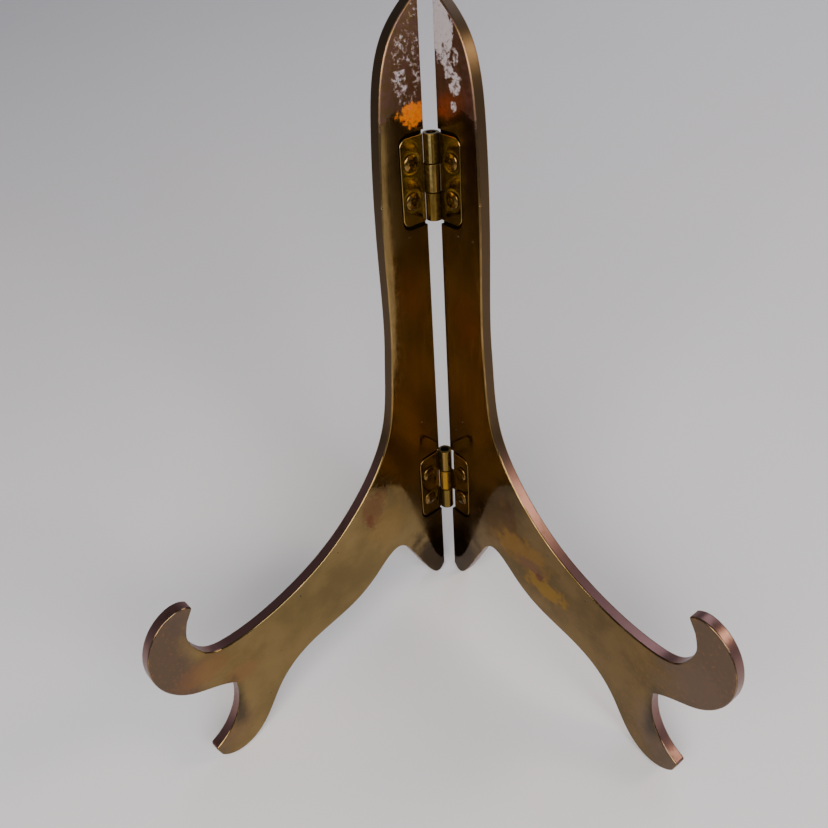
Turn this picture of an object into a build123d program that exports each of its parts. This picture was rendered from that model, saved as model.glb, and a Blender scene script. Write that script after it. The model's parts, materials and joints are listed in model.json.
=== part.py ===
from build123d import *
from math import cos, radians, sin
import os

# Folding album stand: two equal brass plates joined along their back edges by two
# small butt hinges. The stand leans back on four feet and is symmetric about X = 0.
#
# Every plate is drawn in the plane of its inner face, where x runs forward from the
# hinge axis and y runs up along it, measured from the middle of the upper hinge.
# Depths are measured outward from the inner face. LEFT and RIGHT are signs along X.

LEFT = -1
RIGHT = 1
SIDES = {"left": LEFT, "right": RIGHT}

# --- the stand as it stands (mm, degrees) ---
half_opening = 43.1      # each plate's angle from the plane of symmetry
lean = 13.88             # the hinge axis leans back from upright, all four feet down

# --- plates ---
plate_thickness = 4.0
face_offset = 0.5        # hinge axis to the inner face
back_edge = 2.1          # hinge axis to the back edge
top_height = 48.8        # rounded top above the upper hinge
edge_radius = 0.5        # polished edges
top_radius = 1.2
tip_radius = 0.9         # blunt tip of the hook
toe_radius = 1.1         # blunt toe of the front foot
crotch_radius = 1.4      # between the hook and the front foot

# --- hinges ---
hinge_spacing = 111.0    # upper hinge to lower hinge
hinge_length = 25.4      # one-inch hinges
leaf_reach = 11.4        # hinge axis to the leaf's outer edge
leaf_thickness = 0.9
leaf_sink = 0.2          # the leaf lies this far below the inner face
leaf_corner = 2.6
leaf_edge_radius = 0.25  # the leaf's front edges are tumbled smooth
leaf_root = 2.55         # hinge axis to the leaf's edge between its knuckles
eased_root = 3.6         # the same on the right leaf of the lower hinge
tongue_start = 1.7       # a leaf runs in this near to the axis, inside its knuckles
barrel_radius = 2.45
bore_radius = 1.5
knuckle_edge_radius = 0.2
pin_clearance = 0.04     # radial play of the pin in the bores
pin_inset = 1.8          # the pin stops this far inside the barrel's ends
knuckle_gap = 0.16       # between neighbouring knuckles
roll_seam = 0.18         # slit where the rolled knuckle comes back to its leaf

# --- pockets cut for the hinges ---
pocket_depth = leaf_sink + leaf_thickness
pocket_length = hinge_length + 2.4
pocket_reach = leaf_reach + 0.6
pocket_corner = 3.4
close_notch = 2.3        # hinge axis to the back edge beside a barrel
eased_notch = 2.8        # the same on the right plate at the lower hinge

# --- rivets ---
rivet_reach = 7.6        # hinge axis to the rivets
rivet_spacing = 11.0
shank_radius = 1.2
head_radius = 2.6
head_height = 0.7
dimple_radius = 0.9      # the setting punch leaves a shallow dimple in the head
dimple_depth = 0.12
tail_radius = 2.0        # the tail fills a countersink, filed flush with the outer face
tail_depth = 0.9

knuckle_length = hinge_length / 3
hinges = {"upper": 0.0, "lower": -hinge_spacing}
# the two hinges are mounted opposite ways up
outer_knuckles_on = {"upper": RIGHT, "lower": LEFT}


# ---------------------------------------------------------------- planes
def forward_of(side, frame):
    angle = radians(half_opening)
    return frame.x_dir * (side * sin(angle)) - frame.y_dir * cos(angle)


def outward_of(side, frame):
    angle = radians(half_opening)
    return frame.x_dir * (side * cos(angle)) + frame.y_dir * sin(angle)


def inner_face(side, frame, depth=0.0):
    """The inner face of a plate, or the plane at a depth below it."""
    outward = outward_of(side, frame)
    origin = frame.origin + outward * (face_offset + depth)
    return Plane(origin=origin, x_dir=forward_of(side, frame), z_dir=outward * -side)


def outward_amount(side, depth):
    """Extrusion that goes outward by a depth from a plane made by inner_face."""
    return -side * depth


def cross_section(side, frame, height, reach=0.0):
    """Plane across the hinge axis: x runs forward, side * y runs outward."""
    forward = forward_of(side, frame)
    origin = frame.origin + frame.z_dir * height + forward * reach
    return Plane(origin=origin, x_dir=forward, z_dir=frame.z_dir)


# ---------------------------------------------------------------- plate outline
# corners of the outline, in the plane of the inner face
top = (back_edge, top_height)
tip_inside = (105.0, -104.7)
tip_outside = (102.4, -100.4)
crotch = (95.6, -140.6)
toe_top = (108.1, -163.5)
toe_front = (106.6, -168.0)
heel_back = (back_edge, -152.2)


def front_edge():
    """From the top down the shaft, along the arm and up the inside of the hook."""
    shoulder = (18.4, 14.8)
    shaft_foot = (20.2, -52.0)
    Spline(top, (11.4, 40.6), shoulder, tangents=[(0.82, -0.57), (0.08, -1.0)])
    Spline(shoulder, (19.6, -20.0), shaft_foot, tangents=[(0.08, -1.0), (0.1, -1.0)])
    Spline(
        shaft_foot,
        (24.8, -81.3),
        (38.1, -100.4),
        (54.8, -113.1),
        (72.5, -120.3),
        (92.0, -123.3),
        (101.6, -120.8),
        (106.1, -112.6),
        tip_inside,
        tangents=[(0.1, -1.0), (-0.34, 1.0)],
    )


def hook_back():
    """The blunt tip of the hook, its round back and its underside."""
    Line(tip_inside, tip_outside)
    Spline(
        tip_outside,
        (106.6, -98.5),
        (112.6, -100.4),
        (117.9, -106.6),
        (119.9, -115.8),
        (117.2, -125.6),
        (110.6, -132.8),
        (103.4, -136.2),
        crotch,
    )


def front_foot():
    """The front of the foot and its blunt toe."""
    Spline(crotch, (96.6, -150.6), (101.4, -158.9), toe_top)
    Line(toe_top, toe_front)


def underside():
    """The sole, the arch between the feet and the rear foot."""
    Spline(
        toe_front,
        (103.4, -170.7),
        (97.8, -171.7),
        (91.6, -169.2),
        (80.2, -155.0),
        (70.6, -147.6),
        (47.9, -142.0),
        (35.4, -136.0),
        (23.2, -129.9),
        (17.2, -137.2),
        (10.9, -148.8),
        (5.2, -155.0),
        heel_back,
    )


def round_corners(profile):
    """Ease the corners that are filed round."""
    radii = {
        top: top_radius,
        tip_inside: tip_radius,
        tip_outside: tip_radius,
        crotch: crotch_radius,
        toe_top: toe_radius,
        toe_front: toe_radius,
    }
    for corner, radius in radii.items():
        fillet(profile.vertices().sort_by_distance(corner)[0], radius=radius)


# ---------------------------------------------------------------- plates
def plate_blank(side, frame):
    """A plate with polished edges, before it is cut for its hinges."""
    with BuildPart() as blank:
        with BuildSketch(inner_face(side, frame)) as profile:
            with BuildLine():
                Line(heel_back, top)
                front_edge()
                hook_back()
                front_foot()
                underside()
            make_face()
            round_corners(profile)
        extrude(amount=outward_amount(side, plate_thickness))
        broad_faces = blank.faces().sort_by(SortBy.AREA)[-2:]
        fillet(broad_faces.edges(), radius=edge_radius)
    return blank.part


# The hinge axis is placed so that the feet rest on z = 0 and the stand's box is
# centred on the origin.
trial_frame = Plane(Location((0, 0, 0), (-lean, 0, 0)))
trial_box = plate_blank(LEFT, trial_frame).bounding_box()
middle_y = (trial_box.min.Y + trial_box.max.Y) / 2
axis_frame = Plane(Location((0, -middle_y, -trial_box.min.Z), (-lean, 0, 0)))
print("hinge axis through", axis_frame.origin, "along", axis_frame.z_dir)


def rounded_strip(length, reach, corner, start=0.0):
    """A strip from near the hinge axis, with its two forward corners rounded."""
    with Locations(((start + reach) / 2, 0)):
        Rectangle(reach - start, length)
    forward_corners = vertices().group_by(Axis.X)[-1]
    fillet(forward_corners, radius=corner)


def hinge_plane(side, height, depth=0.0):
    """The plane of inner_face with its origin moved to a hinge's middle."""
    plane = inner_face(side, axis_frame, depth)
    return Plane(
        origin=plane.origin + axis_frame.z_dir * height,
        x_dir=plane.x_dir,
        z_dir=plane.z_dir,
    )


def is_eased(side, hinge):
    """One leaf and its notch were filed back so that the hinge could be lined up."""
    return (side, hinge) == (RIGHT, "lower")


def cut_for_hinge(side, hinge):
    """The shallow pocket for a leaf and the notch that clears the barrel."""
    height = hinges[hinge]
    depth = eased_notch if is_eased(side, hinge) else close_notch
    with BuildSketch(hinge_plane(side, height)) as pocket:
        rounded_strip(pocket_length, pocket_reach, pocket_corner)
    extrude(pocket.sketch, amount=outward_amount(side, pocket_depth), mode=Mode.SUBTRACT)
    with BuildSketch(hinge_plane(side, height)) as notch:
        with Locations((depth / 2, 0)):
            Rectangle(depth, pocket_length)
    extrude(notch.sketch, amount=outward_amount(side, plate_thickness), mode=Mode.SUBTRACT)


def rivet_hole(side):
    """Half the section of a rivet's hole, countersunk for its tail at the outer face."""
    with BuildLine() as half:
        Polyline(
            (0, 0),
            (shank_radius, 0),
            (shank_radius, side * (plate_thickness - tail_depth)),
            (tail_radius, side * plate_thickness),
            (0, side * plate_thickness),
            close=True,
        )
    make_face(half.edges())


def rivet_plane(side, height):
    """Section plane of a rivet: x runs forward, side * y is the depth."""
    outward = outward_of(side, axis_frame)
    plane = cross_section(side, axis_frame, height, rivet_reach)
    return Plane(
        origin=plane.origin + outward * face_offset,
        x_dir=plane.x_dir,
        z_dir=plane.z_dir,
    )


def rivet_heights(hinge):
    middle = hinges[hinge]
    return {"top": middle + rivet_spacing / 2, "bottom": middle - rivet_spacing / 2}


def rivet_axis(side, height):
    return Axis(origin=rivet_plane(side, height).origin, direction=outward_of(side, axis_frame))


def drill_for_rivet(side, height):
    with BuildSketch(rivet_plane(side, height)) as hole:
        rivet_hole(side)
    revolve(hole.sketch, axis=rivet_axis(side, height), mode=Mode.SUBTRACT)


os.makedirs("parts", exist_ok=True)

for side_name, side in SIDES.items():
    blank = plate_blank(side, axis_frame)
    with BuildPart() as plate:
        add(blank)
        for hinge in hinges:
            cut_for_hinge(side, hinge)
            for rivet_height in rivet_heights(hinge).values():
                drill_for_rivet(side, rivet_height)
    plate.part.label = f"{side_name}_plate"
    export_step(plate.part, f"parts/{side_name}_plate.step")


# ---------------------------------------------------------------- hinge leaves
def knuckle_spans(hinge, side):
    """Where a leaf's knuckles lie along the barrel, as (bottom, top) heights."""
    edge = hinge_length / 2
    inner_edge = knuckle_length / 2
    middle = hinges[hinge]
    if outer_knuckles_on[hinge] == side:
        lower = (middle - edge, middle - inner_edge - knuckle_gap / 2)
        upper = (middle + inner_edge + knuckle_gap / 2, middle + edge)
        return [lower, upper]
    return [(middle - inner_edge + knuckle_gap / 2, middle + inner_edge - knuckle_gap / 2)]


def leaf_flat(side, hinge):
    """The flat of a leaf, with a tongue running in to each of its knuckles."""
    middle = hinges[hinge]
    root = eased_root if is_eased(side, hinge) else leaf_root
    with BuildPart() as flat:
        with BuildSketch(hinge_plane(side, middle, leaf_sink)):
            rounded_strip(hinge_length, leaf_reach, leaf_corner, start=root)
            for bottom, knuckle_top in knuckle_spans(hinge, side):
                tongue = ((tongue_start + root) / 2, (bottom + knuckle_top) / 2 - middle)
                with Locations(tongue):
                    Rectangle(root - tongue_start, knuckle_top - bottom)
        extrude(amount=outward_amount(side, leaf_thickness))
        outward = Axis(axis_frame.origin, outward_of(side, axis_frame))
        forward = Axis(axis_frame.origin, forward_of(side, axis_frame))
        front = flat.faces().sort_by(outward)[0]
        rim = front.edges().group_by(forward)[1:]
        fillet([edge for group in rim for edge in group], radius=leaf_edge_radius)
    return flat.part


def rolled_knuckle(side, bottom, length):
    """The leaf's edge rolled round the pin, with the slit where it comes back."""
    front = face_offset + leaf_sink
    with BuildPart() as knuckle:
        with BuildSketch(cross_section(side, axis_frame, bottom)):
            Circle(barrel_radius)
        extrude(amount=length)
        fillet(knuckle.edges().filter_by(GeomType.CIRCLE), radius=knuckle_edge_radius)
        with BuildSketch(cross_section(side, axis_frame, bottom)):
            with Locations((barrel_radius * 0.8, side * (front - roll_seam / 2))):
                Rectangle(barrel_radius * 1.2, roll_seam)
        extrude(amount=length, mode=Mode.SUBTRACT)
    return knuckle.part


for hinge, height in hinges.items():
    for side_name, side in SIDES.items():
        flat = leaf_flat(side, hinge)
        knuckles = [
            rolled_knuckle(side, bottom, knuckle_top - bottom)
            for bottom, knuckle_top in knuckle_spans(hinge, side)
        ]
        with BuildPart() as leaf:
            add([flat, *knuckles])
            with BuildSketch(cross_section(side, axis_frame, height - hinge_length)):
                Circle(bore_radius)
            extrude(amount=2 * hinge_length, mode=Mode.SUBTRACT)
            for rivet_height in rivet_heights(hinge).values():
                drill_for_rivet(side, rivet_height)
        leaf.part.label = f"{hinge}_hinge_{side_name}_leaf"
        export_step(leaf.part, f"parts/{hinge}_hinge_{side_name}_leaf.step")


# ---------------------------------------------------------------- hinge pins
for hinge, height in hinges.items():
    pin_length = hinge_length - 2 * pin_inset
    with BuildPart() as pin:
        with BuildSketch(cross_section(LEFT, axis_frame, height - pin_length / 2)):
            Circle(bore_radius - pin_clearance)
        extrude(amount=pin_length)
        chamfer(pin.edges(), length=0.25)
    pin.part.label = f"{hinge}_hinge_pin"
    export_step(pin.part, f"parts/{hinge}_hinge_pin.step")


# ---------------------------------------------------------------- rivets
def set_rivet(side):
    """Half the section of a rivet: dimpled head on the leaf, shank and flush tail."""
    seat = side * leaf_sink
    crown = side * (leaf_sink - head_height)
    brow = side * (leaf_sink - head_height * 0.66)
    dimple = side * (leaf_sink - head_height + dimple_depth)
    with BuildLine() as half:
        Spline(
            (0, dimple),
            (dimple_radius, crown),
            (head_radius * 0.76, brow),
            (head_radius, seat),
            tangents=[(1, 0), (0.3, side)],
        )
        Polyline(
            (head_radius, seat),
            (shank_radius, seat),
            (shank_radius, side * (plate_thickness - tail_depth)),
            (tail_radius, side * plate_thickness),
            (0, side * plate_thickness),
            (0, dimple),
        )
    make_face(half.edges())


for hinge in hinges:
    for side_name, side in SIDES.items():
        for place, rivet_height in rivet_heights(hinge).items():
            with BuildPart() as rivet:
                with BuildSketch(rivet_plane(side, rivet_height)):
                    set_rivet(side)
                revolve(axis=rivet_axis(side, rivet_height))
            rivet.part.label = f"{hinge}_{side_name}_{place}_rivet"
            export_step(rivet.part, f"parts/{hinge}_{side_name}_{place}_rivet.step")
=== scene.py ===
import bpy
import json
from math import cos, radians, sin
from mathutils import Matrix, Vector

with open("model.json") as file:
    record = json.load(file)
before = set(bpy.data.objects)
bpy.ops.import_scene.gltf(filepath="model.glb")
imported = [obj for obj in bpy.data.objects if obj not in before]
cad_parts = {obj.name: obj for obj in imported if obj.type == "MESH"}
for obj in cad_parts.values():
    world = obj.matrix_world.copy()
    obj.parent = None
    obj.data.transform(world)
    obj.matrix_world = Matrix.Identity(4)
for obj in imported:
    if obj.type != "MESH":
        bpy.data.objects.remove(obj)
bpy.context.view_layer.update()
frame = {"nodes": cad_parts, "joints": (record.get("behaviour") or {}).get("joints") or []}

# ---------------------------------------------------------------- the view
# A close view from in front and above, with the stand a little off its axis, as someone
# leaning over the table to look at it would hold a camera.
MM = 0.001
camera = bpy.data.objects.new("camera", bpy.data.cameras.new("camera"))
camera.data.sensor_width = 36.0
camera.data.lens = 35.87
camera.data.clip_start = 10 * MM
camera.location = Vector((16.6, -158.3, 282.0)) * MM
camera.rotation_euler = [radians(angle) for angle in (41.88, 4.16, 3.40)]
bpy.context.scene.collection.objects.link(camera)
bpy.context.scene.camera = camera


# ---------------------------------------------------------------- the table
# A smooth laminated table top in off-white, wide enough to fill the view. Its finish is
# matt, with a faint broad unevenness.
def linear(hex_colour):
    """An sRGB hex colour as linear red, green, blue and alpha."""
    channels = [int(hex_colour[i:i + 2], 16) / 255 for i in (0, 2, 4)]
    curve = [c / 12.92 if c <= 0.04045 else ((c + 0.055) / 1.055) ** 2.4 for c in channels]
    return (*curve, 1.0)


def add_node(tree, kind, settings=None, links=None):
    """One node, with its properties or sockets set and its inputs linked."""
    node = tree.nodes.new(kind)
    for name, value in (settings or {}).items():
        if isinstance(name, str) and hasattr(node, name):
            setattr(node, name, value)
        else:
            node.inputs[name].default_value = value
    for name, source in (links or {}).items():
        tree.links.new(source, node.inputs[name])
    return node


def new_material(name):
    """An empty node material and its node tree."""
    material = bpy.data.materials.new(name)
    material.use_nodes = True
    material.node_tree.nodes.clear()
    return material, material.node_tree


def matt_laminate():
    """Melamine paper pressed matt: off-white, without a shine at this angle."""
    material, tree = new_material("matt_laminate")
    place = add_node(tree, "ShaderNodeTexCoord")
    patch_size = 120
    unevenness = add_node(
        tree,
        "ShaderNodeTexNoise",
        {"Scale": 1 / (patch_size * MM), "Detail": 2.0},
        {"Vector": place.outputs["Object"]},
    )
    tone = add_node(
        tree,
        "ShaderNodeMix",
        {"data_type": "RGBA", 6: linear("e2e3e8"), 7: linear("e9e8e8")},
        {0: unevenness.outputs["Fac"]},
    )
    shader = add_node(
        tree,
        "ShaderNodeBsdfPrincipled",
        {"Roughness": 0.55, "IOR": 1.5},
        {"Base Color": tone.outputs[2]},
    )
    add_node(tree, "ShaderNodeOutputMaterial", None, {"Surface": shader.outputs["BSDF"]})
    return material


def table_top():
    """One flat sheet, far wider than the view in metres, that the stand is set on."""
    half = 3.0
    corners = [(-half, -half, 0), (half, -half, 0), (half, half, 0), (-half, half, 0)]
    mesh = bpy.data.meshes.new("table_top")
    mesh.from_pydata(corners, [], [(0, 1, 2, 3)])
    mesh.materials.append(matt_laminate())
    top = bpy.data.objects.new("table_top", mesh)
    bpy.context.scene.collection.objects.link(top)


table_top()


# ---------------------------------------------------------------- the light
# Two soft panels in front, a warm one low at the right, one far behind, and a dim cool
# room that is darker overhead than at the horizon.
def soft_panel(name, place, aim, width, height, watts, colour):
    """A rectangular soft light at a place, turned to face its aim; all in metres."""
    lamp = bpy.data.lights.new(name, "AREA")
    lamp.shape = "RECTANGLE"
    lamp.size = width
    lamp.size_y = height
    lamp.energy = watts
    lamp.color = linear(colour)[:3]
    panel = bpy.data.objects.new(name, lamp)
    panel.location = place
    panel.rotation_euler = (Vector(aim) - Vector(place)).to_track_quat("-Z", "Y").to_euler()
    bpy.context.scene.collection.objects.link(panel)


soft_panel("right_panel", (0.62, -0.62, 0.75), (0, -0.1, 0), 0.4, 0.5, 4.6, "fafaff")
soft_panel("front_panel", (-0.1, -0.5, 0.5), (0, -0.2, 0), 0.6, 0.4, 4.4, "fff7ec")
soft_panel("side_panel", (1.08, 0.16, 0.66), (0, 0, 0.18), 0.34, 0.3, 4.6, "ffecd0")
soft_panel("back_panel", (0.55, 1.1, 0.8), (0.15, 0.5, 0), 0.9, 0.5, 4.2, "e8eaff")


def dim_room():
    """Even, slightly blue light from all round, less of it from the ceiling."""
    room = bpy.data.worlds.new("room")
    room.use_nodes = True
    tree = room.node_tree
    tree.nodes.clear()
    sky = add_node(tree, "ShaderNodeTexCoord")
    way = add_node(tree, "ShaderNodeSeparateXYZ", None, {0: sky.outputs["Generated"]})
    overhead = add_node(
        tree,
        "ShaderNodeMapRange",
        {"From Min": 0.05, "From Max": 0.6},
        {"Value": way.outputs["Z"]},
    )
    colour = add_node(
        tree,
        "ShaderNodeMix",
        {"data_type": "RGBA", 6: linear("c6c8d6"), 7: linear("98989f")},
        {0: overhead.outputs["Result"]},
    )
    shade = add_node(
        tree, "ShaderNodeBackground", {"Strength": 0.54}, {"Color": colour.outputs[2]}
    )
    add_node(tree, "ShaderNodeOutputWorld", None, {"Surface": shade.outputs[0]})
    return room


bpy.context.scene.world = dim_room()


# ---------------------------------------------------------------- the plates
# Two plates sawn from 4 mm sheet brass, polished and left to tarnish: still a mirror at a
# low angle, olive brown in the hand, with coppery stains and a white bloom at the top.

# The hinge axis leans back through both hinges; in metres.
fold = frame["joints"][0]
AXIS_POINT = Vector(fold["pos_m"])
AXIS = Vector(fold["axis"]).normalized()
SIDEWAYS = Vector((1, 0, 0))
BACKWARD = AXIS.cross(SIDEWAYS).normalized()
# Each plate's turn from the stand's middle, and which side it is on.
HALF_OPENING = radians(43.1)
SIDES = {"left": -1, "right": 1}
# In mm: the middles of the hinges along their axis, and the inner faces' distance from it.
HINGE_HEIGHTS = {"upper": 0.0, "lower": -111.0}
FACE_OFFSET = 0.5


def plate_place(tree, side):
    """Where a point lies on a plate, in mm: its reach forward from the hinge axis, its
    height along it from the upper hinge's middle and its depth from the inner face, as
    one vector and apart; and how squarely it faces in or out, 1 on the broad faces."""
    outward = SIDEWAYS * side * cos(HALF_OPENING) + BACKWARD * sin(HALF_OPENING)
    forward = SIDEWAYS * side * sin(HALF_OPENING) - BACKWARD * cos(HALF_OPENING)
    inner_face = AXIS_POINT + outward * FACE_OFFSET * MM
    texture = add_node(tree, "ShaderNodeTexCoord")
    point = add_node(
        tree,
        "ShaderNodeVectorMath",
        {"operation": "SUBTRACT", 1: inner_face},
        {0: texture.outputs["Object"]},
    )
    place = []
    for direction in (forward, AXIS, outward):
        distance = add_node(
            tree,
            "ShaderNodeVectorMath",
            {"operation": "DOT_PRODUCT", 1: direction / MM},
            {0: point.outputs[0]},
        )
        place.append(distance.outputs["Value"])
    spot = add_node(tree, "ShaderNodeCombineXYZ", None, dict(enumerate(place)))
    turned = add_node(
        tree,
        "ShaderNodeVectorMath",
        {"operation": "DOT_PRODUCT", 1: outward},
        {0: texture.outputs["Normal"]},
    )
    facing = add_node(
        tree, "ShaderNodeMath", {"operation": "ABSOLUTE"}, {0: turned.outputs["Value"]}
    )
    return spot.outputs[0], *place, facing.outputs[0]


def cloud(tree, spot, size, detail=4.0, roughness=0.55, stretch=(1, 1, 1)):
    """Uneven cover from 0 to 1, in clouds of about a size in mm, drawn out by a stretch."""
    scale = [1 / (size * amount) for amount in stretch]
    drawn = add_node(
        tree, "ShaderNodeVectorMath", {"operation": "MULTIPLY", 1: scale}, {0: spot}
    )
    noise = add_node(
        tree,
        "ShaderNodeTexNoise",
        {"Scale": 1.0, "Detail": detail, "Roughness": roughness},
        {"Vector": drawn.outputs[0]},
    )
    return noise.outputs["Fac"]


def where(tree, *limits, least=0.0, most=1.0):
    """How far every value is past its limits, each given as (value, low, high), which are
    multiplied together. The first goes from least to most, the others from 0 to 1."""
    cover = None
    for value, low, high in limits:
        step = add_node(
            tree,
            "ShaderNodeMapRange",
            {"interpolation_type": "SMOOTHSTEP", "From Min": low, "From Max": high},
            {"Value": value},
        )
        if cover is None:
            step.inputs["To Min"].default_value = least
            step.inputs["To Max"].default_value = most
            cover = step.outputs["Result"]
            continue
        both = add_node(
            tree, "ShaderNodeMath", {"operation": "MULTIPLY"}, {0: cover, 1: step.outputs["Result"]}
        )
        cover = both.outputs[0]
    return cover


def coated(tree, under, colour, *limits, **amounts):
    """A hex colour laid over another colour where all the limits are passed."""
    coat = add_node(
        tree,
        "ShaderNodeMix",
        {"data_type": "RGBA", 7: linear(colour)},
        {0: where(tree, *limits, **amounts)},
    )
    if isinstance(under, str):
        coat.inputs[6].default_value = linear(under)
    else:
        tree.links.new(under, coat.inputs[6])
    return coat.outputs[2]


def dulled(tree, roughness, dull, *limits):
    """A roughness brought to another where all the limits are passed."""
    change = add_node(
        tree,
        "ShaderNodeMix",
        {"data_type": "FLOAT", 3: dull},
        {0: where(tree, *limits), 2: roughness},
    )
    return change.outputs[0]


def from_spot(tree, spot, centre, size):
    """How far a point is from the middle of a patch, as a share of the patch's size."""
    offset = add_node(
        tree, "ShaderNodeVectorMath", {"operation": "SUBTRACT", 1: centre}, {0: spot}
    )
    share = add_node(
        tree, "ShaderNodeVectorMath", {"operation": "DIVIDE", 1: size}, {0: offset.outputs[0]}
    )
    away = add_node(
        tree, "ShaderNodeVectorMath", {"operation": "LENGTH"}, {0: share.outputs[0]}
    )
    return away.outputs["Value"]


def ragged_patch(tree, spot, centre, size, grain, ragged=1.2):
    """How far a point is inside a ragged patch on the inner face: 0 outside, 1 inside.
    It fades out through the sheet, so that the outer face has it only faintly."""
    fade_depth = 5.0
    away = from_spot(tree, spot, (*centre, 0), (*size, fade_depth))
    edge = add_node(
        tree,
        "ShaderNodeMath",
        {"operation": "MULTIPLY_ADD", 1: 2 * ragged},
        {0: cloud(tree, spot, grain), 2: away},
    )
    middle = 1 + ragged
    soft = 0.25 + 0.1 * grain
    return where(tree, (edge.outputs[0], middle + soft, middle - soft))


def relief(tree, *layers):
    """The surface's bumps, from the broadest to the finest, each given as
    (height, rise in mm, strength)."""
    surface = None
    for height, rise, strength in layers:
        bump = add_node(
            tree,
            "ShaderNodeBump",
            {"Strength": strength, "Distance": rise * MM},
            {"Height": height},
        )
        if surface is not None:
            tree.links.new(surface, bump.inputs["Normal"])
        surface = bump.outputs[0]
    return surface


# The colours of the tarnish, worn brass, dirt and powder on either plate, with a painted
# highlight, painted shade and a painted amber glint among them.
COPPERY = "7a5c3c"
TAN = "8a6f42"
PURPLE_BROWN = "5c4c3e"
RED_FRECKLE = "8c5c3c"
PLUM = "846458"
SAWN_EDGE = "54432f"
SAWN_EDGE_LOW = "7c5c56"
RUBBED_BRASS_AND_HIGHLIGHT = "9c8058"
PIT_BROWN = "3a281c"
POCKET_GRIME_AND_SHADE = "1c150c"
CHALK = {"thin": "877a7a", "thick": "b8b0b4"}
GLINT_COLOURS = {"glint": "e07a10", "red flecks": "d8380c"}
# The olive tarnish over most of each plate, and its paler clouds.
BODY_TONES = {"left": ("6e5c38", "806b43"), "right": ("5c4a2a", "705a36")}
# Stains and painted shade on each plate: centre, half sizes, colour, how much it covers and grain.
STAINS_AND_SHADE = {
    "left": [
        ((34, -106), (4.6, 7.0), "6b4430", 0.55, 1.6),
        ((30, -101), (3.0, 3.4), "6e4a2e", 0.5, 1.1),
        ((35.5, -110), (1.6, 3.0), "643a26", 0.7, 0.9),
        ((28, -116), (8.0, 8.0), "8c6c34", 0.3, 5.0),
        ((105, -127), (9.0, 5.0), "80583a", 0.45, 1.3),
        ((93, -138), (6.0, 4.0), "84603e", 0.55, 1.1),
        ((12, -80), (9.0, 24.0), "966a30", 0.5, 9.0),
        # painted shade low on the heel, where the plates face each other near the floor
        ((8, -146), (11.0, 14.0), "281808", 0.9, 6.0),
        ((19, -96), (9.0, 9.0), "9c7a42", 0.5, 6.0),
        ((105.5, -101), (5.0, 7.0), "5a4a42", 0.75, 3.0),
        ((100, -158), (7.0, 8.0), "765a42", 0.5, 2.0),
        # painted shade along the foot's front edge, standing for a wide bevel the shape doesn't
        # have
        ((97, -149), (2.6, 10.0), "343028", 0.85, 9.0),
    ],
    "right": [
        ((31.5, -108), (3.0, 5.6), "5a3826", 0.75, 1.3),
        ((34, -113), (1.8, 3.0), "55301e", 0.75, 0.8),
        ((28, -104), (3.0, 5.0), "6a4c30", 0.5, 1.6),
        ((27, -115), (11.0, 10.0), "573c12", 0.85, 6.0),
        ((38, -121), (12.0, 5.5), "8a6420", 0.6, 4.0),
        ((50, -130.5), (9.0, 3.6), "8a671c", 0.75, 3.0),
        ((42.5, -124.8), (6.0, 2.2), "6a4a34", 0.85, 1.1),
        ((47, -127), (1.8, 1.6), "5e3626", 0.8, 0.7),
        # painted shade low on the heel, where the plates face each other near the floor
        ((8, -146), (11.0, 14.0), "3a2a16", 0.9, 6.0),
        ((12, -42), (6.0, 9.0), "8a5a34", 0.5, 3.0),
        ((15.5, 12), (2.6, 15.0), "64484a", 0.65, 3.0),
        ((109, -124), (9.0, 8.0), "645244", 0.6, 2.0),
        ((97, -156), (6.0, 9.0), "6c5749", 0.5, 3.0),
        ((19, -96), (9.0, 9.0), "9c7a42", 0.5, 6.0),
        # painted shade along the foot's front edge, standing for a wide bevel the shape doesn't
        # have
        ((97, -149), (2.6, 10.0), "343028", 0.85, 9.0),
    ],
}
# How far the purple brown tarnish has crept back from the hooks and feet: where it starts
# and where it is full, in mm of reach.
TARNISH_CREEP = {"left": (98, 114), "right": (90, 108)}
# Where the white bloom gathers: centre, half sizes and how thick it lies.
BLOOM = {
    "left": [
        ((9.8, 27.5), (2.6, 4.2), 0.75),
        ((8.8, 35.5), (3.4, 4.6), 0.6),
        ((4.5, 42), (3.5, 7.0), 0.4),
        ((4.2, 31), (2.2, 7.0), 0.55),
        ((7.6, 22.5), (4.4, 2.4), 0.5),
    ],
    "right": [
        ((4.8, 41.5), (5.4, 8.0), 1.35),
        ((6.0, 35), (3.4, 4.6), 0.95),
        ((7.6, 30.6), (2.2, 3.4), 1.0),
        ((10.2, 26.4), (2.4, 3.0), 1.0),
        ((9.4, 20.6), (1.2, 1.6), 1.0),
        ((10.6, 33.5), (1.2, 2.8), 0.85),
    ],
}
# Where a painted amber glint, a painted reflection, lies: centre, half sizes and how strong it is.
PAINTED_GLINT = {"left": ((5.0, 18.6), (6.0, 3.0), 1.0), "right": ((4.5, 18.0), (4.0, 2.2), 0.2)}


def from_nearest_hinge(tree, height):
    """How far a height is from the middle of the nearer hinge, in mm."""
    hinge_away = []
    for middle in HINGE_HEIGHTS.values():
        above = add_node(tree, "ShaderNodeMath", {"operation": "SUBTRACT", 1: middle}, {0: height})
        away = add_node(tree, "ShaderNodeMath", {"operation": "ABSOLUTE"}, {0: above.outputs[0]})
        hinge_away.append(away.outputs[0])
    nearest = add_node(
        tree, "ShaderNodeMath", {"operation": "MINIMUM"}, {0: hinge_away[0], 1: hinge_away[1]}
    )
    return nearest.outputs[0]


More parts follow.
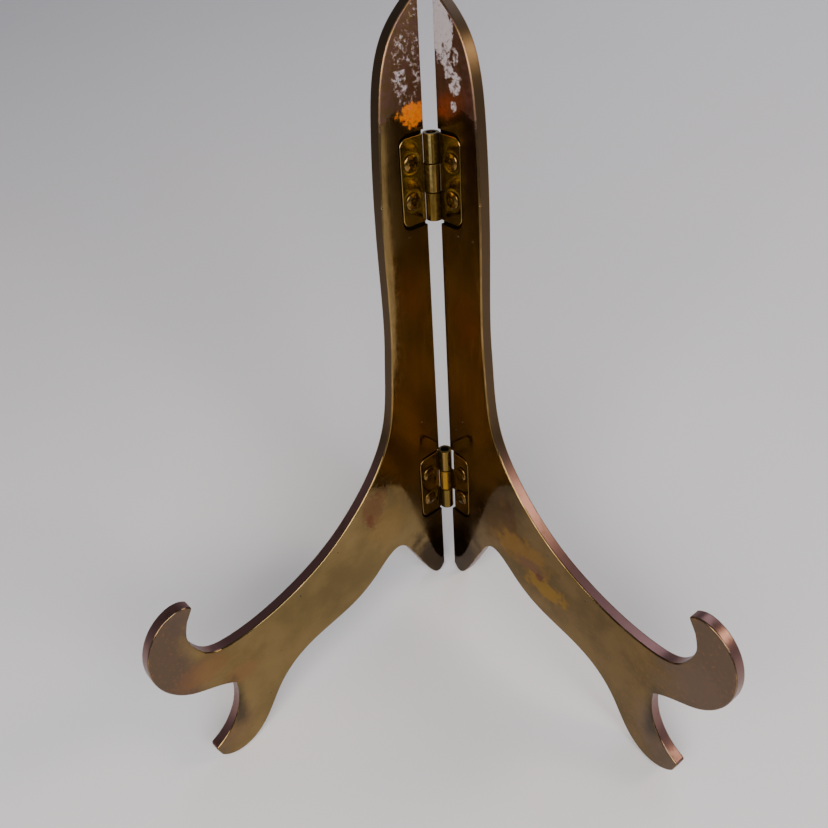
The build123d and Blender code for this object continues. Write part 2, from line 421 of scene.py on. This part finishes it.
def bloom_thickness(tree, side_name, spot, fleck):
    """How thick the white powder lies: fine flecks, thicker inside the plate's patches."""
    patches = None
    for centre, size, amount in BLOOM[side_name]:
        mark = ragged_patch(tree, spot, centre, size, 2.5, ragged=1.0)
        patch = where(tree, (mark, 0, 1), most=amount)
        if patches is None:
            patches = patch
            continue
        most = add_node(tree, "ShaderNodeMath", {"operation": "MAXIMUM"}, {0: patches, 1: patch})
        patches = most.outputs[0]
    thickness = add_node(
        tree, "ShaderNodeMath", {"operation": "MULTIPLY_ADD", 1: 0.3}, {0: patches, 2: fleck}
    )
    return thickness.outputs[0]


def tarnished_sheet_brass(side_name):
    """Polished brass gone olive brown: glossy, mottled, redder at its ends and edges."""
    material, tree = new_material(f"tarnished_sheet_brass_{side_name}")
    spot, reach, height, depth, facing = plate_place(tree, SIDES[side_name])

    # the tarnish itself: broad olive and tan clouds with a fine coppery mottle
    broad = cloud(tree, spot, 17)
    mottle = cloud(tree, spot, 2.2, 5.0, 0.65)
    streaks = cloud(tree, spot, 2.0, 4.0, 0.6, stretch=(1, 9, 1))
    body, paler = BODY_TONES[side_name]
    colour = coated(tree, body, paler, (broad, 0.35, 0.65))
    colour = coated(tree, colour, COPPERY, (mottle, 0.52, 0.74), most=0.5)
    on_shaft = (height, -100, -70)
    colour = coated(tree, colour, TAN, (streaks, 0.45, 0.7), on_shaft, least=0.2, most=0.75)

    # purple brown tarnish with red freckles at the ends of the arms, its edge wandering
    wander = 24.0
    creep = add_node(
        tree,
        "ShaderNodeMath",
        {"operation": "MULTIPLY_ADD", 1: wander},
        {0: cloud(tree, spot, 9.0), 2: reach},
    )
    start, full = TARNISH_CREEP[side_name]
    tarnished_end = (creep.outputs[0], start + wander / 2, full + wander / 2)
    colour = coated(tree, colour, PURPLE_BROWN, tarnished_end)
    freckle = (cloud(tree, spot, 1.3, 4.0, 0.7), 0.55, 0.7)
    freckled_end = (creep.outputs[0], start - 10, full)
    colour = coated(tree, colour, RED_FRECKLE, freckle, freckled_end, most=0.6)

    # the stains, with painted shade on the heels and along the feet's front edges
    for centre, size, tone, amount, grain in STAINS_AND_SHADE[side_name]:
        mark = ragged_patch(tree, spot, centre, size, grain)
        colour = coated(tree, colour, tone, (mark, 0, 1), most=amount)

    # round the top the lacquer has gone, and the brass under it is plum coloured
    unevenness = 14.0
    bare_edge = add_node(
        tree,
        "ShaderNodeMath",
        {"operation": "MULTIPLY_ADD", 1: unevenness},
        {0: cloud(tree, spot, 5.0), 2: height},
    )
    bare = (bare_edge.outputs[0], 23.5, 27.5)
    colour = coated(tree, colour, PLUM, bare, (mottle, 0.75, 0.3))

    # the sawn edge is browner and duller than the faces, and pinker along the arms
    edge = (facing, 0.35, 0.1)
    on_arm = (height, -80, -98)
    edge_mottle = cloud(tree, spot, 4.0, 5.0, 0.6)
    colour = coated(tree, colour, SAWN_EDGE, edge, (edge_mottle, 0.0, 0.3))
    colour = coated(tree, colour, SAWN_EDGE_LOW, edge, on_arm, (edge_mottle, 0.1, 0.5))

    # handling keeps a line along the rounded corners bright, here and there; the line is also a
    # painted highlight
    rubbed_and_highlight = (cloud(tree, spot, 7.0), 0.4, 0.65), (facing, 0.4, 0.6), (facing, 0.9, 0.75)
    colour = coated(tree, colour, RUBBED_BRASS_AND_HIGHLIGHT, *rubbed_and_highlight)

    # pits about half a millimetre across, in a third of their places and in loose groups
    pit_spacing = 3.4
    pit = add_node(
        tree,
        "ShaderNodeTexVoronoi",
        {"Scale": 1 / pit_spacing, "Randomness": 1.0},
        {"Vector": spot},
    )
    pit_kind = add_node(tree, "ShaderNodeSeparateColor", None, {0: pit.outputs["Color"]})
    pitted = where(
        tree,
        (pit.outputs["Distance"], 0.13, 0.05),
        (pit_kind.outputs[0], 0.62, 0.7),
        (cloud(tree, spot, 14), 0.42, 0.56),
    )
    colour = coated(tree, colour, PIT_BROWN, (pitted, 0, 1), (facing, 0.5, 1))

    # grime packed into the hinge pockets, made darker as painted shade in the pocket
    hinge_near = from_nearest_hinge(tree, height)
    pocket_half_length = 13.9
    pocket_reach = 12.0
    pocket_depth = 1.1
    pocket_grime_and_shade = (
        (hinge_near, pocket_half_length + 0.2, pocket_half_length + 0.1),
        (reach, pocket_reach + 0.2, pocket_reach + 0.1),
        (depth, 0.02, 0.25),
        (depth, pocket_depth + 0.2, pocket_depth + 0.1),
    )
    colour = coated(tree, colour, POCKET_GRIME_AND_SHADE, *pocket_grime_and_shade)

    # the white bloom: dry powder, in patches and scattered flecks above the upper hinge
    on_inner_face = (depth, 0.6, 0.2)
    fleck = cloud(tree, spot, 1.4, 6.0, 0.68)
    thickness = bloom_thickness(tree, side_name, spot, fleck)
    bloom = where(
        tree,
        (thickness, 0.645, 0.8),
        (bare_edge.outputs[0], 23.0, 25.5),
        (facing, 0.9, 0.97),
        on_inner_face,
        most=0.9,
    )
    chalk = coated(tree, CHALK["thin"], CHALK["thick"], (thickness, 0.7, 0.86))
    bloomed = add_node(
        tree, "ShaderNodeMix", {"data_type": "RGBA"}, {0: bloom, 6: colour, 7: chalk}
    )

    # a painted reflection: an amber glint just above the upper hinge, with red flecks in it
    centre, size, amount = PAINTED_GLINT[side_name]
    mark = ragged_patch(tree, spot, centre, size, 1.8)
    glint_cover = where(tree, (mark, 0, 1), (facing, 0.9, 1), on_inner_face, most=amount)
    glinted = coated(tree, bloomed.outputs[2], GLINT_COLOURS["glint"], (glint_cover, 0, 1))
    red = (glint_cover, 0.3, 1), (fleck, 0.52, 0.66)
    glinted = coated(tree, glinted, GLINT_COLOURS["red flecks"], *red, most=0.7)

    # dullness: hairlines from handling, really under 0.1 mm wide but drawn 0.5 mm so that
    # they show, and a drag wherever the polish has gone
    hairline = cloud(tree, spot, 0.5, 2.0, 0.5, stretch=(1, 16, 1))
    dull = where(tree, (mottle, 0.35, 0.7), least=0.06, most=0.16)
    dull = dulled(tree, dull, 0.2, (hairline, 0.6, 0.68), (facing, 0.5, 1))
    dull = dulled(tree, dull, 0.26, tarnished_end)
    dull = dulled(tree, dull, 0.22, (hinge_near, 24, 15), (reach, 19, 13))
    dull = dulled(tree, dull, 0.34, edge)
    dull = dulled(tree, dull, 0.2, *rubbed_and_highlight)
    dull = dulled(tree, dull, 0.36, bare)
    dull = dulled(tree, dull, 0.8, *pocket_grime_and_shade)
    dull = dulled(tree, dull, 0.9, (bloom, 0, 0.9))

    shader = add_node(
        tree,
        "ShaderNodeBsdfPrincipled",
        None,
        {
            "Base Color": glinted,
            "Metallic": where(tree, (bloom, 0.9, 0.0), (glint_cover, 1.5, 0.0)),
            "Roughness": dull,
            "Normal": relief(
                tree,
                (cloud(tree, spot, 13, 2.0, 0.4), 0.12, 0.5),
                (mottle, 0.02, 0.25),
                (where(tree, (pitted, 1, 0)), 0.15, 0.8),
                (where(tree, (bloom, 0, 0.9), (fleck, 0.2, 0.8)), 0.15, 0.7),
            ),
        },
    )
    add_node(tree, "ShaderNodeOutputMaterial", None, {"Surface": shader.outputs["BSDF"]})
    return material


for side_name in SIDES:
    plate = frame["nodes"][f"{side_name}_plate"]
    plate.data.materials.clear()
    plate.data.materials.append(tarnished_sheet_brass(side_name))


# ---------------------------------------------------------------- the hinge leaves
# Two one-inch butt hinges. Each leaf is stamped from 0.9 mm brass strip, its edge rolled
# round the pin, tumbled bright and riveted into a pocket in its plate.

# The colours of each leaf: the flat, its darker patches, the barrel, whose tone partly stands for a
# painted reflection of the dim room in front, and the painted highlight on the rim.
HINGE_TONES = {
    "upper_left": ("c4ac66", "9c8444", "94763a", "b89858"),
    "upper_right": ("8e7c46", "746030", "8c6e30", "a88a50"),
    "lower_left": ("8a7232", "6e5a28", "746030", "98794a"),
    "lower_right": ("80642c", "6a5224", "a87c1c", "846a3a"),
}
# The painted highlight along the front of each barrel, bright on the upper hinge, dim on the lower.
BARREL_HIGHLIGHT_TONES = {"upper": "ffe088", "lower": "8c7040"}
BARREL_SMUDGE = "7a5520"
BROWN_FRECKLE = "5e3d18"
JOINT_GRIME = "2a1d0c"
# In mm: the barrel, one of its three knuckles, and where the rivets are from the hinge axis
# and from the hinge's middle.
BARREL_RADIUS = 2.45
KNUCKLE_LENGTH = 25.4 / 3
RIVET_REACH = 7.6
RIVET_FROM_MIDDLE = 5.5


def rolled_hinge_brass(hinge, side_name):
    """Yellow brass with a drawn grain on the barrel, painted highlights on rim and barrel, dirty
    corners.
    """
    material, tree = new_material(f"rolled_hinge_brass_{hinge}_{side_name}")
    spot, reach, height, depth, facing = plate_place(tree, SIDES[side_name])
    leaf_tone, patch_tone, barrel_tone, rim_highlight_tone = HINGE_TONES[f"{hinge}_{side_name}"]

    # the marks of rolling are really under 0.1 mm apart, and drawn 0.35 mm so that they show
    drawn = cloud(tree, spot, 0.35, 3.0, 0.6, stretch=(1, 24, 1))
    freckle = cloud(tree, spot, 1.1, 5.0, 0.7)
    on_barrel = (reach, BARREL_RADIUS + 0.15, BARREL_RADIUS - 0.05)
    on_flat = (reach, BARREL_RADIUS + 0.4, BARREL_RADIUS + 0.8)
    colour = coated(tree, leaf_tone, patch_tone, (cloud(tree, spot, 5.0), 0.35, 0.65))
    colour = coated(tree, colour, barrel_tone, on_barrel, most=0.9)
    colour = coated(tree, colour, BARREL_SMUDGE, (drawn, 0.5, 0.75), most=0.4)
    colour = coated(tree, colour, BROWN_FRECKLE, (freckle, 0.6, 0.72), most=0.7)

    # painted highlights: a line on the rim and a streak on the barrel's front, brightest at the top
    rim_highlight = (facing, 0.25, 0.5), (facing, 0.98, 0.85), on_flat
    colour = coated(tree, colour, rim_highlight_tone, *rim_highlight)
    from_middle = add_node(
        tree, "ShaderNodeMath", {"operation": "SUBTRACT", 1: HINGE_HEIGHTS[hinge]}, {0: height}
    )
    fade_height = 9
    highlight_turn = radians(-7)
    highlight_line = SIDEWAYS * sin(highlight_turn) - BACKWARD * cos(highlight_turn)
    texture = add_node(tree, "ShaderNodeTexCoord")
    crest = add_node(
        tree,
        "ShaderNodeVectorMath",
        {"operation": "DOT_PRODUCT", 1: highlight_line},
        {0: texture.outputs["Normal"]},
    )
    barrel_highlight = (
        (crest.outputs["Value"], 0.984, 0.995),
        (from_middle.outputs[0], -fade_height, fade_height),
        (drawn, 0.3, 0.5),
        on_barrel,
    )
    colour = coated(tree, colour, BARREL_HIGHLIGHT_TONES[hinge], *barrel_highlight)

    # dirt: between the knuckles, in the crease beside the barrel, behind the leaf
    middle_away = add_node(
        tree, "ShaderNodeMath", {"operation": "ABSOLUTE"}, {0: from_middle.outputs[0]}
    )
    joint_away = add_node(
        tree,
        "ShaderNodeMath",
        {"operation": "SUBTRACT", 1: KNUCKLE_LENGTH / 2},
        {0: middle_away.outputs[0]},
    )
    joint_near = add_node(
        tree, "ShaderNodeMath", {"operation": "ABSOLUTE"}, {0: joint_away.outputs[0]}
    )
    joint_grime = (joint_near.outputs[0], 0.5, 0.15), on_barrel
    crease_grime = (
        (reach, BARREL_RADIUS - 0.45, BARREL_RADIUS - 0.1),
        (reach, BARREL_RADIUS + 0.8, BARREL_RADIUS + 0.2),
        (freckle, 0.0, 0.6),
    )
    behind = (depth, 0.35, 0.7), on_flat
    colour = coated(tree, colour, JOINT_GRIME, *joint_grime, most=0.9)
    colour = coated(tree, colour, JOINT_GRIME, *crease_grime, most=0.9)
    colour = coated(tree, colour, JOINT_GRIME, *behind, most=0.9)

    # the strip is dished round each rivet where it was set, out to this far in mm
    dish = (2.4, 3.8)
    dished = None
    for end in (1, -1):
        seat = (RIVET_REACH, HINGE_HEIGHTS[hinge] + end * RIVET_FROM_MIDDLE, 0)
        away = from_spot(tree, spot, seat, (1, 1, 1))
        ring = where(tree, (away, *dish))
        if dished is None:
            dished = ring
            continue
        both = add_node(tree, "ShaderNodeMath", {"operation": "MULTIPLY"}, {0: dished, 1: ring})
        dished = both.outputs[0]

    dull = where(tree, (freckle, 0.35, 0.7), least=0.1, most=0.24)
    dull = dulled(tree, dull, 0.6, *joint_grime)
    dull = dulled(tree, dull, 0.55, *crease_grime)
    dull = dulled(tree, dull, 0.14, *rim_highlight)
    shader = add_node(
        tree,
        "ShaderNodeBsdfPrincipled",
        {"Metallic": 1.0},
        {
            "Base Color": colour,
            "Roughness": dull,
            "Normal": relief(
                tree,
                (dished, 0.18, 1.0),
                (cloud(tree, spot, 3.2, 2.0, 0.4), 0.07, 0.6),
                (drawn, 0.01, 0.35),
            ),
        },
    )
    add_node(tree, "ShaderNodeOutputMaterial", None, {"Surface": shader.outputs["BSDF"]})
    return material


for hinge in HINGE_HEIGHTS:
    for side_name in SIDES:
        leaf = frame["nodes"][f"{hinge}_hinge_{side_name}_leaf"]
        leaf.data.materials.clear()
        leaf.data.materials.append(rolled_hinge_brass(hinge, side_name))


# ---------------------------------------------------------------- the hinge pins
# A plain 3 mm brass pin in each barrel, cut a little short, with old oil and dust on its
# ends.
PIN_BRASS = "4a3b1e"
OIL_AND_DUST = "15120a"


def oily_pin_brass():
    """Dark and half matt, with a trace of brass where the dirt is thin."""
    material, tree = new_material("oily_pin_brass")
    texture = add_node(tree, "ShaderNodeTexCoord")
    spot = add_node(
        tree,
        "ShaderNodeVectorMath",
        {"operation": "SCALE", "Scale": 1 / MM},
        {0: texture.outputs["Object"]},
    )
    dirt = cloud(tree, spot.outputs[0], 0.8, 4.0, 0.6)
    shader = add_node(
        tree,
        "ShaderNodeBsdfPrincipled",
        {"Metallic": 0.6},
        {
            "Base Color": coated(tree, PIN_BRASS, OIL_AND_DUST, (dirt, 0.35, 0.6)),
            "Roughness": where(tree, (dirt, 0.3, 0.7), least=0.35, most=0.7),
            "Normal": relief(tree, (dirt, 0.08, 0.8)),
        },
    )
    add_node(tree, "ShaderNodeOutputMaterial", None, {"Surface": shader.outputs["BSDF"]})
    return material


pin_finish = oily_pin_brass()
for hinge in HINGE_HEIGHTS:
    pin = frame["nodes"][f"{hinge}_hinge_pin"]
    pin.data.materials.clear()
    pin.data.materials.append(pin_finish)


# ---------------------------------------------------------------- the rivets
# Eight brass rivets, their low domed heads set with a punch on the leaves and their tails
# hammered into countersinks and filed flush with the outer faces.
RIVET_BRASS = "84693a"
BLOW_SHADE = "5e4820"
SEAT_GRIME_AND_SHADE = "2a1c0c"
FILED_BRASS = "9a7c48"
PLATE_THICKNESS = 4.0


def set_rivet_brass(side_name):
    """Bright on the crown, hammer marked, with grime and painted shade where the head meets the
    leaf.
    """
    material, tree = new_material(f"set_rivet_brass_{side_name}")
    spot, _, _, depth, _ = plate_place(tree, SIDES[side_name])
    blows = cloud(tree, spot, 1.3, 2.0, 0.5)
    # grime and painted shade round the foot of the head, where it meets the leaf
    seat = (depth, -0.05, 0.14), (depth, 1.0, 0.5)
    filed = (depth, PLATE_THICKNESS - 0.5, PLATE_THICKNESS - 0.2)
    colour = coated(tree, RIVET_BRASS, BLOW_SHADE, (blows, 0.35, 0.65))
    colour = coated(tree, colour, SEAT_GRIME_AND_SHADE, *seat)
    colour = coated(tree, colour, FILED_BRASS, filed)
    dull = where(tree, (blows, 0.3, 0.7), least=0.06, most=0.18)
    dull = dulled(tree, dull, 0.6, *seat)
    dull = dulled(tree, dull, 0.3, filed)
    shader = add_node(
        tree,
        "ShaderNodeBsdfPrincipled",
        {"Metallic": 1.0},
        {
            "Base Color": colour,
            "Roughness": dull,
            "Normal": relief(tree, (blows, 0.15, 0.9)),
        },
    )
    add_node(tree, "ShaderNodeOutputMaterial", None, {"Surface": shader.outputs["BSDF"]})
    return material


for side_name in SIDES:
    rivet_finish = set_rivet_brass(side_name)
    for hinge in HINGE_HEIGHTS:
        for end in ("top", "bottom"):
            rivet = frame["nodes"][f"{hinge}_{side_name}_{end}_rivet"]
            rivet.data.materials.clear()
            rivet.data.materials.append(rivet_finish)
